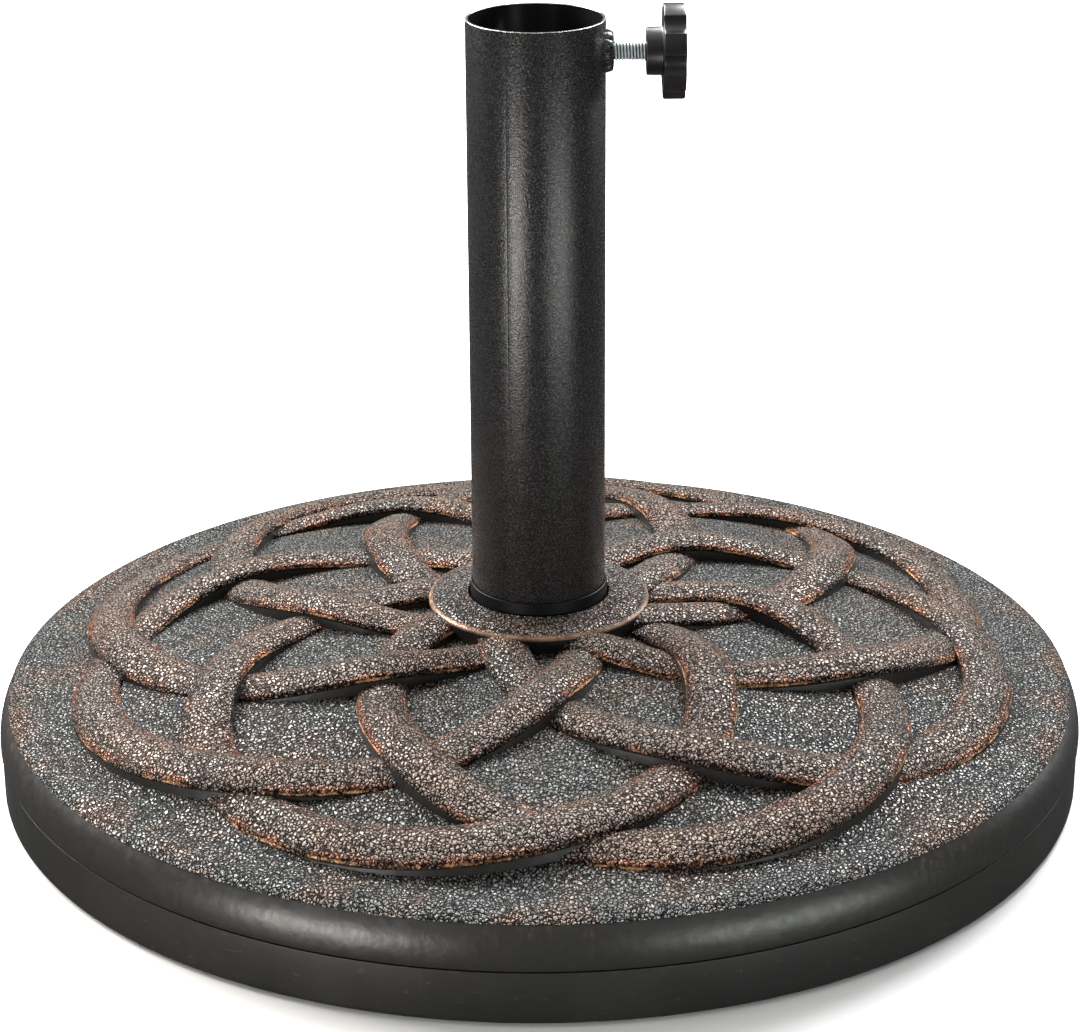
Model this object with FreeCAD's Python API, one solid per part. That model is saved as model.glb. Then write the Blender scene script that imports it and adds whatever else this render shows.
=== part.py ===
"""Round weighted parasol base: a moulded two-part shell filled with concrete, a steel tube
bolted down the middle, and a clamp screw with a lobed knob near the tube's top.

Millimetres. Z is up, the origin is the centre of the circle on the ground that the feet stand on.
The clamp screw lies along +X.
"""
import math
import os

import FreeCAD, Part
from FreeCAD import Vector

os.makedirs("parts", exist_ok=True)

# ---- driving dimensions -------------------------------------------------------------------
BASE_RADIUS = 225.0
SHELL_WALL = 3.5
SEAM_HEIGHT = 23.2
SEAM_STEP = 0.5            # the lower shell's wall stands this far inside the upper one's
FOOT_STANDOFF = 1.0        # the lower shell clears the ground by this much
FLOOR_THICKNESS = 4.0
TONGUE_RADIUS = 220.5      # the lower shell's rim that stands up inside the upper one
TONGUE_THICKNESS = 3.0

DOME_SEAT = (47.0, 65.8)   # radius and height of the flat seat under the collar
DOME_MID = (140.0, 58.0)
DOME_EDGE = (200.0, 43.4)
RIM_INNER = (211.0, 42.9)
RIM_MID = (217.3, 42.1)
RIM_CREASE = (220.8, 40.0)
WALL_MID = (223.9, 32.5)

BAND_COUNT = 8
BAND_RING_OFFSET = 89.5    # from the base's axis to the centre of each ring of the pattern
BAND_RING_RADIUS = 99.0    # of a ring's centreline
BAND_WIDTH = 20.0
BAND_HEIGHT = 5.5
BAND_FIRST_ANGLE = 24.5    # degrees from +X

COLLAR_RADIUS = 46.0
COLLAR_TOP = 75.8
COLLAR_HOLE_RADIUS = 29.2
COLLAR_SKIRT_RADIUS = 33.5
COLLAR_SKIRT_BOTTOM = 56.0

TUBE_RADIUS = 27.5
TUBE_WALL = 1.2
TUBE_TOP = 316.0
TUBE_BOTTOM = 19.0
TUBE_STEP_HEIGHT = 33.0    # below this the tube is drawn down round its end plate
TUBE_STEP = 0.3

LINER_RADIUS = 28.4
LINER_BORE = 27.6
LINER_TOP = 80.5           # the liner stands a little above the collar, hugging the tube

SCREW_HEIGHT = 302.6
SCREW_RADIUS = 3.95        # M8
SCREW_HEAD_GAP = 1.2       # from the knob disc's face to the screw's head
SCREW_HEAD_LENGTH = 5.3
NUT_BORE_RADIUS = 4.0
NUT_ACROSS_FLATS = 13.0
NUT_FACES = (26.5, 30.5)   # the clamp nut's inner and outer faces, as distances from the axis
HUB_FACE = 43.1            # the knob's face towards the tube, with the screw backed off
HUB_RADIUS = 9.4
HUB_LENGTH = 6.4
KNOB_THICKNESS = 8.8
KNOB_RADIUS = 18.7
KNOB_LOBES = 7
KNOB_FLUTE_RADIUS = 5.6
KNOB_FLUTE_RING = 22.1     # from the screw's axis to the centre of each flute
KNOB_FIRST_FLUTE = 0.85    # of a lobe's share of the turn, from straight up towards -Y
CAP_RADIUS = 9.0
CAP_SINK = 1.75            # how deep the cap goes into the knob
TIP_FACE = 26.65           # the pressure tip's end, just outside the tube's bore
TIP_DISC = 1.25            # thickness of the tip's disc
TIP_STEM = 3.2             # length of the stem that it has in the screw
TIP_STEM_RADIUS = 1.5

PLATE_THICKNESS = 5.0
BOLT_RADIUS = 4.95         # M10
BOLT_ACROSS_FLATS = 16.0
BOLT_HEAD_HEIGHT = 6.4
BOLT_NUT_HEIGHT = 8.0
BOLT_REACH = 13.5          # from the tube's foot up to the bolt's end
WASHER_RADIUS = 20.0
WASHER_THICKNESS = 2.5
SPRING_RADIUS = 9.05
SPRING_THICKNESS = 2.2
POCKET_RADIUS = 22.0       # the recess under the base that holds the bolt's head
POCKET_CEILING = 15.0
POCKET_ROOF = 4.0
BOSS_RADIUS = 29.9         # of the boss round the recess, which the tube stands on

FOOT_COUNT = 6
FOOT_RING_RADIUS = 196.0
FOOT_RADIUS = 12.0
FOOT_THICKNESS = 3.0

PLUG_DISTANCE = 110.0      # from the base's axis, along +Y
PLUG_STEM_RADIUS = 13.9
PLUG_HEAD_RADIUS = 17.0

TOUCH_GAP = 0.2            # between the cast filling and what holds it

Z_AXIS = Vector(0, 0, 1)
X_AXIS = Vector(1, 0, 0)
ORIGIN = Vector(0, 0, 0)


# ---- helpers ------------------------------------------------------------------------------
def revolve(start, *segments, axis=Z_AXIS, centre=ORIGIN):
    """A solid of revolution. Points are (radius, distance along the axis). A segment is the
    point that a straight line goes to, or (middle point, end point) of an arc."""
    def place(point):
        radius, along = point
        if axis is Z_AXIS:
            return centre + Vector(radius, 0, along)
        return centre + Vector(along, radius, 0)

    edges = []
    at = place(start)
    for segment in segments + (start,):
        if isinstance(segment[0], tuple):
            middle, end = place(segment[0]), place(segment[1])
            edges.append(Part.Arc(at, middle, end).toShape())
        else:
            end = place(segment)
            edges.append(Part.LineSegment(at, end).toShape())
        at = end
    return Part.Face(Part.Wire(edges)).revolve(centre, axis, 360)


def cylinder(radius, bottom, top, x=0.0, y=0.0):
    return Part.makeCylinder(radius, top - bottom, Vector(x, y, bottom), Z_AXIS)


def cross_cylinder(radius, near, far):
    """A cylinder on the clamp screw's axis."""
    return Part.makeCylinder(radius, far - near, Vector(near, 0, SCREW_HEIGHT), X_AXIS)


def hexagon(across_flats, base, length, axis):
    """A hexagonal prism along axis from base, with two corners on the Z or the X side."""
    corner = across_flats / math.sqrt(3)
    up = Z_AXIS if axis is X_AXIS else X_AXIS
    side = axis.cross(up)
    points = []
    for i in range(7):
        angle = math.radians(60 * i)
        points.append(base + up * (corner * math.cos(angle)) + side * (corner * math.sin(angle)))
    return Part.Face(Part.makePolygon(points)).extrude(axis * length)


def polar(radius, degrees):
    angle = math.radians(degrees)
    return radius * math.cos(angle), radius * math.sin(angle)


def lowered(point, drop, inward=0.0):
    return point[0] - inward, point[1] - drop


def save(name, shape):
    shape = shape.removeSplitter()
    if not shape.isValid():
        raise ValueError(name + " is not a valid shape")
    shape.exportStep("parts/" + name + ".step")
    print(f"{name}: {len(shape.Solids)} solid(s), {shape.Volume / 1000:.2f} cm3")


# ---- the shell, its filling and what stands on it -----------------------------------------
def band_rings():
    """The rings of the pattern as tall upright walls, fused where they cross."""
    rings = []
    for i in range(BAND_COUNT):
        x, y = polar(BAND_RING_OFFSET, BAND_FIRST_ANGLE + 360 * i / BAND_COUNT)
        outer = cylinder(BAND_RING_RADIUS + BAND_WIDTH / 2, 30, 90, x, y)
        inner = cylinder(BAND_RING_RADIUS - BAND_WIDTH / 2, 29, 91, x, y)
        rings.append(outer.cut(inner))
    return rings[0].multiFuse(rings[1:])


def upper_shell():
    seat_height = DOME_SEAT[1]
    hole = COLLAR_SKIRT_RADIUS + 0.2
    skin = revolve(
        (hole, seat_height),
        DOME_SEAT,
        (DOME_MID, DOME_EDGE),
        RIM_INNER,
        (RIM_MID, RIM_CREASE),
        (WALL_MID, (BASE_RADIUS, SEAM_HEIGHT + 0.4)),
        (BASE_RADIUS - 0.4, SEAM_HEIGHT),
        (BASE_RADIUS - SHELL_WALL, SEAM_HEIGHT),
        (lowered(WALL_MID, 0, SHELL_WALL), lowered(RIM_CREASE, 3.0, 2.8)),
        (lowered(RIM_MID, 3.4, 1.2), lowered(RIM_INNER, SHELL_WALL)),
        lowered(DOME_EDGE, SHELL_WALL, 1),
        (lowered(DOME_MID, SHELL_WALL, 1), lowered(DOME_SEAT, SHELL_WALL)),
        (hole, seat_height - SHELL_WALL),
    )
    clear_of_collar = COLLAR_RADIUS + 0.3
    raised = revolve(
        (clear_of_collar, seat_height - 2),
        (clear_of_collar, seat_height + BAND_HEIGHT),
        (lowered(DOME_MID, -BAND_HEIGHT), lowered(DOME_EDGE, -BAND_HEIGHT)),
        lowered(DOME_EDGE, 2),
        (lowered(DOME_MID, 2), lowered(DOME_SEAT, 2)),
    )
    return skin.fuse(band_rings().common(raised))


def lower_shell():
    wall_radius = BASE_RADIUS - SEAM_STEP
    floor_top = FOOT_STANDOFF + FLOOR_THICKNESS
    tongue_inner = TONGUE_RADIUS - TONGUE_THICKNESS
    tongue_top = SEAM_HEIGHT + 7.5
    shell = revolve(
        (BOLT_RADIUS + 0.55, POCKET_CEILING),
        (POCKET_RADIUS, POCKET_CEILING),
        (POCKET_RADIUS, FOOT_STANDOFF),
        (wall_radius - 3, FOOT_STANDOFF),
        ((wall_radius - 0.9, FOOT_STANDOFF + 0.9), (wall_radius, FOOT_STANDOFF + 3)),
        (wall_radius, SEAM_HEIGHT - 0.5),
        (wall_radius - 0.5, SEAM_HEIGHT),
        (TONGUE_RADIUS, SEAM_HEIGHT),
        (TONGUE_RADIUS, tongue_top),
        (tongue_inner, tongue_top),
        (tongue_inner, SEAM_HEIGHT - 4),
        (wall_radius - 4, SEAM_HEIGHT - 7),
        (wall_radius - 4, floor_top),
        (BOSS_RADIUS, floor_top),
        (BOSS_RADIUS, POCKET_CEILING + POCKET_ROOF),
        (BOLT_RADIUS + 0.55, POCKET_CEILING + POCKET_ROOF),
    )
    for i in range(FOOT_COUNT):
        x, y = polar(FOOT_RING_RADIUS, 360 * i / FOOT_COUNT + 30)
        shell = shell.cut(cylinder(FOOT_RADIUS + 0.2, 0, FOOT_THICKNESS, x, y))
    shell = shell.cut(cylinder(PLUG_HEAD_RADIUS + 0.2, 0, FOOT_STANDOFF + 1.8, 0, PLUG_DISTANCE))
    return shell.cut(cylinder(PLUG_STEM_RADIUS + 0.1, 0, floor_top + 1, 0, PLUG_DISTANCE))


def concrete_core():
    floor_top = FOOT_STANDOFF + FLOOR_THICKNESS + TOUCH_GAP
    wide_radius = BASE_RADIUS - SEAM_STEP - 4.0 - TOUCH_GAP
    radius = TONGUE_RADIUS - TONGUE_THICKNESS - TOUCH_GAP
    under_skin = SHELL_WALL + TOUCH_GAP
    around_liner = LINER_RADIUS + TOUCH_GAP
    around_skirt = COLLAR_SKIRT_RADIUS + 0.6
    around_boss = BOSS_RADIUS + TOUCH_GAP
    seat_height = DOME_SEAT[1]
    core = revolve(
        (around_boss, floor_top),
        (wide_radius, floor_top),
        (wide_radius, SEAM_HEIGHT - 7.5),
        (radius, SEAM_HEIGHT - 4.5),
        (radius, RIM_CREASE[1] - 5),
        lowered(RIM_INNER, under_skin, 1.0),
        lowered(DOME_EDGE, under_skin, 1.2),
        (lowered(DOME_MID, under_skin, 1.1), lowered(DOME_SEAT, under_skin, 0.2)),
        (around_skirt, seat_height - under_skin),
        (around_skirt, COLLAR_SKIRT_BOTTOM - 0.5),
        (around_liner, COLLAR_SKIRT_BOTTOM - 0.5),
        (around_liner, POCKET_CEILING + POCKET_ROOF + TOUCH_GAP),
        (around_boss, POCKET_CEILING + POCKET_ROOF + TOUCH_GAP),
    )
    return core.cut(cylinder(PLUG_STEM_RADIUS + 1, 0, 8, 0, PLUG_DISTANCE))


def socket_liner():
    """The plastic sleeve that keeps the filling out of the tube's socket."""
    bottom = POCKET_CEILING + POCKET_ROOF
    return revolve(
        (LINER_BORE, bottom),
        (LINER_RADIUS, bottom),
        (LINER_RADIUS, LINER_TOP - 0.3),
        (LINER_RADIUS - 0.3, LINER_TOP),
        (LINER_BORE, LINER_TOP),
    )


def collar_ring():
    """The ring round the foot of the tube, with a skirt that drops into the shell's hole."""
    seat_height = DOME_SEAT[1]
    return revolve(
        (COLLAR_HOLE_RADIUS, COLLAR_SKIRT_BOTTOM),
        (COLLAR_HOLE_RADIUS, COLLAR_TOP - 0.8),
        ((COLLAR_HOLE_RADIUS + 0.25, COLLAR_TOP - 0.25), (COLLAR_HOLE_RADIUS + 0.9, COLLAR_TOP)),
        (COLLAR_RADIUS - 2.6, COLLAR_TOP - 1.4),
        ((COLLAR_RADIUS - 0.6, COLLAR_TOP - 2.2), (COLLAR_RADIUS, COLLAR_TOP - 3.8)),
        (COLLAR_RADIUS - 0.7, seat_height),
        (COLLAR_SKIRT_RADIUS, seat_height),
        (COLLAR_SKIRT_RADIUS, COLLAR_SKIRT_BOTTOM),
    )


def foot_pad(index):
    x, y = polar(FOOT_RING_RADIUS, 360 * index / FOOT_COUNT + 30)
    return revolve(
        (0, 0),
        (FOOT_RADIUS - 1, 0),
        (FOOT_RADIUS, 1),
        (FOOT_RADIUS, FOOT_THICKNESS),
        (0, FOOT_THICKNESS),
        centre=Vector(x, y, 0),
    )


def fill_plug():
    """The press-in plug of the hole that the filling was poured through."""
    head_top = FOOT_STANDOFF + 1.8
    return revolve(
        (0, FOOT_STANDOFF + 0.2),
        (PLUG_HEAD_RADIUS - 0.6, FOOT_STANDOFF + 0.2),
        (PLUG_HEAD_RADIUS, FOOT_STANDOFF + 0.8),
        (PLUG_HEAD_RADIUS, head_top),
        (PLUG_STEM_RADIUS, head_top),
        (PLUG_STEM_RADIUS, 6.5),
        (PLUG_STEM_RADIUS - 1, 7.5),
        (0, 7.5),
        centre=Vector(0, PLUG_DISTANCE, 0),
    )


# ---- the tube and how it is bolted down ---------------------------------------------------
def pole_tube():
    bore = TUBE_RADIUS - TUBE_WALL
    foot = TUBE_RADIUS - TUBE_STEP
    tube = revolve(
        (bore, TUBE_STEP_HEIGHT),
        (bore - TUBE_STEP, TUBE_STEP_HEIGHT - 0.3),
        (bore - TUBE_STEP, TUBE_BOTTOM),
        (foot, TUBE_BOTTOM),
        (foot, TUBE_STEP_HEIGHT - 0.3),
        (TUBE_RADIUS, TUBE_STEP_HEIGHT),
        (TUBE_RADIUS, TUBE_TOP - 0.25),
        (TUBE_RADIUS - 0.25, TUBE_TOP),
        (bore + 0.25, TUBE_TOP),
        (bore, TUBE_TOP - 0.25),
    )
    corner = NUT_ACROSS_FLATS / math.sqrt(3)
    return tube.cut(cross_cylinder(corner + 0.1, 20, 32))


def end_plate():
    """The steel disc welded inside the tube's foot."""
    radius = TUBE_RADIUS - TUBE_WALL - TUBE_STEP - 0.05
    disc = cylinder(radius, TUBE_BOTTOM, TUBE_BOTTOM + PLATE_THICKNESS)
    return disc.cut(cylinder(BOLT_RADIUS + 0.35, TUBE_BOTTOM - 1, TUBE_BOTTOM + PLATE_THICKNESS + 1))


def end_plate_nut():
    base = TUBE_BOTTOM + PLATE_THICKNESS
    nut = hexagon(BOLT_ACROSS_FLATS, Vector(0, 0, base), BOLT_NUT_HEIGHT, Z_AXIS)
    return nut.cut(cylinder(BOLT_RADIUS + 0.05, base - 1, base + BOLT_NUT_HEIGHT + 1))


def bolt_washer():
    top = POCKET_CEILING
    disc = cylinder(WASHER_RADIUS, top - WASHER_THICKNESS, top)
    return disc.cut(cylinder(BOLT_RADIUS + 0.3, top - WASHER_THICKNESS - 1, top + 1))


def spring_washer():
    top = POCKET_CEILING - WASHER_THICKNESS
    ring = cylinder(SPRING_RADIUS, top - SPRING_THICKNESS, top)
    ring = ring.cut(cylinder(BOLT_RADIUS + 0.15, top - SPRING_THICKNESS - 1, top + 1))
    split = Part.makeBox(6, 1.4, 4, Vector(4.5, -0.7, top - 3))
    split.rotate(Vector(0, 0, top), X_AXIS, 25)
    return ring.cut(split)


def centre_bolt():
    under_head = POCKET_CEILING - WASHER_THICKNESS - SPRING_THICKNESS
    base = Vector(0, 0, under_head - BOLT_HEAD_HEIGHT)
    head = hexagon(BOLT_ACROSS_FLATS, base, BOLT_HEAD_HEIGHT, Z_AXIS)
    shank = revolve(
        (0, under_head - 1),
        (BOLT_RADIUS, under_head - 1),
        (BOLT_RADIUS, TUBE_BOTTOM + BOLT_REACH - 1),
        (BOLT_RADIUS - 1, TUBE_BOTTOM + BOLT_REACH),
        (0, TUBE_BOTTOM + BOLT_REACH),
    )
    return head.fuse(shank)


# ---- the clamp screw ----------------------------------------------------------------------
def clamp_nut():
    inner, outer = NUT_FACES
    nut = hexagon(NUT_ACROSS_FLATS, Vector(inner, 0, SCREW_HEIGHT), outer - inner, X_AXIS)
    return nut.cut(cross_cylinder(NUT_BORE_RADIUS, inner - 1, outer + 1))


def weld_bead():
    """The fillet of weld round the clamp nut, on the tube's outside."""
    inner, outer = NUT_FACES
    corner = NUT_ACROSS_FLATS / math.sqrt(3)
    bead = revolve(
        (0, TUBE_RADIUS - 3),
        (corner + 1.1, TUBE_RADIUS - 3),
        (corner + 1.0, outer - 2.0),
        (corner + 0.2, outer - 0.8),
        (0, outer - 0.8),
        axis=X_AXIS,
        centre=Vector(0, 0, SCREW_HEIGHT),
    )
    bead = bead.cut(hexagon(NUT_ACROSS_FLATS + 0.02, Vector(20, 0, SCREW_HEIGHT), 20, X_AXIS))
    return bead.cut(cylinder(TUBE_RADIUS + 0.01, SCREW_HEIGHT - 20, SCREW_HEIGHT + 20))


def clamp_screw():
    disc_face = HUB_FACE + HUB_LENGTH
    end = TIP_FACE + TIP_DISC + 0.1
    shank = revolve(
        (0, end),
        (SCREW_RADIUS - 0.7, end),
        (SCREW_RADIUS, end + 0.7),
        (SCREW_RADIUS, disc_face + 2),
        (0, disc_face + 2),
        axis=X_AXIS,
        centre=Vector(0, 0, SCREW_HEIGHT),
    )
    head_start = Vector(disc_face + SCREW_HEAD_GAP, 0, SCREW_HEIGHT)
    head = hexagon(NUT_ACROSS_FLATS, head_start, SCREW_HEAD_LENGTH, X_AXIS)
    socket = cross_cylinder(TIP_STEM_RADIUS + 0.05, end - 1, end + TIP_STEM + 0.4)
    return shank.fuse(head).cut(socket)


def pressure_tip():
    """The nylon tip that presses on the pole and lets the screw turn behind it."""
    end = TIP_FACE + TIP_DISC
    return revolve(
        (0, TIP_FACE),
        (2.4, TIP_FACE),
        (3.0, TIP_FACE + 0.5),
        (3.0, end),
        (TIP_STEM_RADIUS, end),
        (TIP_STEM_RADIUS, end + TIP_STEM),
        (0, end + TIP_STEM),
        axis=X_AXIS,
        centre=Vector(0, 0, SCREW_HEIGHT),
    )


def clamp_knob():
    disc_face = HUB_FACE + HUB_LENGTH
    back = disc_face + KNOB_THICKNESS
    round_off = 1.2
    knob = revolve(
        (0, HUB_FACE),
        (HUB_RADIUS - 0.4, HUB_FACE),
        (HUB_RADIUS, HUB_FACE + 0.4),
        (HUB_RADIUS, disc_face),
        (KNOB_RADIUS - round_off, disc_face),
        ((KNOB_RADIUS - 0.35, disc_face + 0.35), (KNOB_RADIUS, disc_face + round_off)),
        (KNOB_RADIUS, back - round_off),
        ((KNOB_RADIUS - 0.35, back - 0.35), (KNOB_RADIUS - round_off, back)),
        (0, back),
        axis=X_AXIS,
        centre=Vector(0, 0, SCREW_HEIGHT),
    )
    for i in range(KNOB_LOBES):
        up, side = polar(KNOB_FLUTE_RING, 360 * (i + KNOB_FIRST_FLUTE) / KNOB_LOBES)
        start = Vector(disc_face - 1, -side, SCREW_HEIGHT + up)
        knob = knob.cut(Part.makeCylinder(KNOB_FLUTE_RADIUS, KNOB_THICKNESS + 2, start, X_AXIS))
    knob = knob.cut(cross_cylinder(SCREW_RADIUS + 0.05, HUB_FACE - 1, back))
    pocket_start = Vector(disc_face + SCREW_HEAD_GAP - 0.05, 0, SCREW_HEIGHT)
    pocket = hexagon(NUT_ACROSS_FLATS + 0.1, pocket_start, KNOB_THICKNESS, X_AXIS)
    return knob.cut(pocket).cut(cross_cylinder(CAP_RADIUS + 0.1, back - CAP_SINK - 0.05, back + 1))


def knob_cap():
    """The push-in cap over the screw's head."""
    back = HUB_FACE + HUB_LENGTH + KNOB_THICKNESS
    return revolve(
        (0, back - CAP_SINK),
        (CAP_RADIUS, back - CAP_SINK),
        (CAP_RADIUS, back - 0.1),
        (CAP_RADIUS - 1, back + 0.5),
        (0, back + 0.5),
        axis=X_AXIS,
        centre=Vector(0, 0, SCREW_HEIGHT),
    )


save("upper_shell", upper_shell())
save("lower_shell", lower_shell())
save("concrete_core", concrete_core())
save("socket_liner", socket_liner())
save("collar_ring", collar_ring())
for number in range(FOOT_COUNT):
    save(f"foot_pad_{number + 1}", foot_pad(number))
save("fill_plug", fill_plug())
save("pole_tube", pole_tube())
save("end_plate", end_plate())
save("end_plate_nut", end_plate_nut())
save("bolt_washer", bolt_washer())
save("spring_washer", spring_washer())
save("centre_bolt", centre_bolt())
save("clamp_nut", clamp_nut())
save("weld_bead", weld_bead())
save("clamp_screw", clamp_screw())
save("pressure_tip", pressure_tip())
save("clamp_knob", clamp_knob())
save("knob_cap", knob_cap())
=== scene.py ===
"""The looks of a round weighted parasol base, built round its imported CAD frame.

Shapes are worked out in millimetres and become metres when a mesh is made. Z is up, and the
clamp screw lies along +X, as in the CAD.
"""
import math

import bmesh
import bpy
import numpy as np
from mathutils import Matrix, Vector


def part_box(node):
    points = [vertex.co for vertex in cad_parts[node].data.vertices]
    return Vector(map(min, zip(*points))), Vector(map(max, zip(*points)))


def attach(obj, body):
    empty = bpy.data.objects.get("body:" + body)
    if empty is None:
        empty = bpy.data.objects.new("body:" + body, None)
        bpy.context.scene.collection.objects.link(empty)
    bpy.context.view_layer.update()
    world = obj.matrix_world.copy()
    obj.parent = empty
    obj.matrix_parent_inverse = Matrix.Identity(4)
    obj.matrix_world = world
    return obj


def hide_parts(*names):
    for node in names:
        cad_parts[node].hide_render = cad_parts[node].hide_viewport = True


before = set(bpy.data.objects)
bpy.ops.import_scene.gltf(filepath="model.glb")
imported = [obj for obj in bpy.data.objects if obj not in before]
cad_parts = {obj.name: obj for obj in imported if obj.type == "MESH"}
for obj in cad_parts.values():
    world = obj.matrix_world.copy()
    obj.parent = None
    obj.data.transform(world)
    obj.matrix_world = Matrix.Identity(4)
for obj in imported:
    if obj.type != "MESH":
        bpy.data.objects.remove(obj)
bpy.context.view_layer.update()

MM = 0.001


def extent(node):
    """The lowest and highest corner of a CAD node, in millimetres."""
    low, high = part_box(node)
    return low / MM, high / MM


# ---- dimensions, in millimetres -----------------------------------------------------------
BASE_RADIUS = extent("upper_shell")[1].x
SEAM_HEIGHT = extent("upper_shell")[0].z
LOWER_RADIUS = extent("lower_shell")[1].x
LOWER_BOTTOM = extent("lower_shell")[0].z
COLLAR_RADIUS = extent("collar_ring")[1].x
COLLAR_TOP = extent("collar_ring")[1].z
COLLAR_BOTTOM = extent("collar_ring")[0].z
COLLAR_HOLE = 29.2
TUBE_RADIUS = extent("pole_tube")[1].x
TUBE_BOTTOM = extent("pole_tube")[0].z
TUBE_TOP = extent("pole_tube")[1].z
LINER_RADIUS = extent("socket_liner")[1].x
LINER_TOP = extent("socket_liner")[1].z
SCREW_HEIGHT = (extent("clamp_screw")[0].z + extent("clamp_screw")[1].z) / 2
SCREW_END = extent("clamp_screw")[0].x
NUT_INNER_FACE = extent("clamp_nut")[0].x
NUT_OUTER_FACE = extent("clamp_nut")[1].x
KNOB_FRONT = extent("clamp_knob")[0].x
KNOB_BACK = extent("clamp_knob")[1].x
FOOT_COUNT = 6
FOOT_GROOVES = (0.4, 0.7)  # their shares of a pad's radius
BOLT_LOW = extent("centre_bolt")[0].z
BOLT_HIGH = extent("centre_bolt")[1].z

SHELL_WALL = 3.5
SEAM_GAP = 0.8             # the groove that shows between the two shells
SEAM_GROOVE_DEPTH = 2.4
DOME = ((47.0, 65.8), (140.0, 58.0), (200.0, 43.4))       # radius and height
SHOULDER = ((211.0, 42.9), (217.3, 42.1), (220.8, 40.0))
SIDE = ((220.4, 39.5), (223.9, 32.5), (BASE_RADIUS, SEAM_HEIGHT + 0.5))
# The upper shell's inner side over the seam, as (radius, height) from its edge there.
SHELL_LIP = ((0, 0), (-1.1, 9), (-3.5, 13.8))
TONGUE = (217.5, 220.5)    # radii of the lower shell's lip, which stands inside the upper shell
TONGUE_HEIGHT = 7.5
TRAY_WALL = 4.0
BOSS_RADIUS = 29.9         # the lower shell's raised middle, over the bolt's recess
BOLT_CLEARANCE = 0.55
COLLAR_SEAT_RADIUS = 45.0
COLLAR_SEAT_DEPTH = 0.3
SKIRT_RADIUS = 33.5
ROUND_STEPS = 384

RING_COUNT = 8
RING_OFFSET = 89.5         # from the base's axis to each ring's centre
RING_RADIUS = 99.0
RING_HALF_WIDTH = 10.0
RING_FIRST_ANGLE = 24.5    # degrees, from +X
RING_EDGE_ROUND = 1.9
RING_CROWN = 2.0
RING_ROOT = -2.2           # a ring's solid starts this far below the dome's surface
RING_STEPS = 240
# Where a ring meets its neighbours: degrees round the ring from its outermost point, and how high
# the edge of its band stands over the dome there, as it goes over one and under the next.
CROSSINGS = (
    (-180, 3.0), (-152.5, 5.0), (-122.5, 1.6), (-83.9, 7.4), (-42.4, 1.6),
    (42.4, 6.4), (83.9, 1.6), (122.5, 7.4), (152.5, 1.6), (180, 3.0),
)

POCKET_RADIUS = 22.0       # the bolt's recess under the base
POCKET_CEILING = 15.0
PLUG_STEM_RADIUS = 13.9
PLUG_TOP = 7.5
BOLT_RADIUS = 4.95
BOLT_PITCH = 1.5
BOLT_ACROSS_FLATS = 16.0
BOLT_HEAD_HEIGHT = 6.4

TUBE_WALL = 1.2
TUBE_STEP_HEIGHT = 33.0
TUBE_STEP = 0.3
TUBE_SEAM_ANGLE = -114.0   # degrees from +X, of the tube's own weld seam
TUBE_SEAM_RIDGE = 0.3
TUBE_SEAM_DIP = 0.08       # of the wider hollow that the ridge stands in

SCREW_RADIUS = 3.95
SCREW_PITCH = 1.25
NUT_BORE = 4.0
NUT_ACROSS_FLATS = 13.0
KNOB_HUB_RADIUS = 9.4
KNOB_HUB_LENGTH = 6.4
KNOB_RADIUS = 18.7
KNOB_LOBES = 7
KNOB_FLUTE_RADIUS = 5.6
KNOB_FLUTE_RING = 22.1
KNOB_FIRST_FLUTE = 0.85    # of a lobe's share of the turn, from straight up towards -Y
CAP_RADIUS = 9.0
CAP_SINK = 1.8             # how deep the cap's seat is in the knob
SCREW_HEAD_START = 1.2     # from the knob disc's face to the screw's head
SCREW_HEAD_END = 6.5
TIP_SOCKET_RADIUS = 1.55   # the hole in the screw's end that holds the nylon tip
TIP_SOCKET_DEPTH = 3.6
WELD_RADIUS = 6.6          # from the screw's axis to the middle of the bead
WELD_HALF_WIDTH = 1.75
WELD_HEIGHT = 3.0

# ---- looks: lengths in millimetres, colours linear ----------------------------------------
GRAIN_SIZE = 1.5
GRAIN_STRETCH = 0.76       # the pebbles are longer along Y than along X
GRAIN_DEPTH = 0.9
GROUND_GREY = (0.086, 0.091, 0.087)
GROUND_BROWN = (0.137, 0.101, 0.078)
BAND_BROWN = (0.174, 0.137, 0.113)
BAND_COPPER = (0.222, 0.143, 0.101)
# Painted shade: the dark brown that the bands and the collar turn towards their edges.
EDGE_SHADE_BROWN = (0.060, 0.034, 0.024)
RUBBED_COPPER = (0.26, 0.090, 0.035)
# Rubbed bronze and a painted highlight, for the bright line along the bands' edges.
BRIGHT_RUB_AND_HIGHLIGHT = (0.85, 0.50, 0.27)
# Worn bronze and a painted highlight on the collar's rim.
RIM_TAN_AND_HIGHLIGHT = (0.34, 0.20, 0.125)
# Dirt and painted shade in the creases between the pebbles.
CREASE_DIRT_AND_SHADE = (0.003, 0.0027, 0.0027)
SMOOTH_DARK = (0.012, 0.0115, 0.011)
SIDE_DARK = (0.009, 0.009, 0.0085)
SIDE_LIGHT = (0.014, 0.0135, 0.0125)
SCRATCH_GREY = (0.09, 0.085, 0.08)
COAT_DARK = (0.005, 0.0052, 0.0055)
COAT_LIGHT = (0.008, 0.0078, 0.0075)
COAT_GLINT = (0.08, 0.08, 0.083)
BARE_RIM = (0.55, 0.53, 0.5)
# Painted shade in the roots of the screw's thread.
THREAD_ROOT_SHADE = (0.03, 0.035, 0.04)
MORTAR_DARK = (0.27, 0.26, 0.24)
MORTAR_LIGHT = (0.42, 0.40, 0.37)
MORTAR_JOINT = (0.2, 0.19, 0.18)
COLLAR_BRONZE = 0.45       # the collar's share of the bronze that the bands have
RIM_SPREAD = 0.7           # of the worn line on the collar's rim, which also carries a painted highlight
SHOULDER_LINE = 217.5      # the radius where the bronze on the shoulder is strongest
SHOULDER_SPREAD = 4.0

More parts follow.
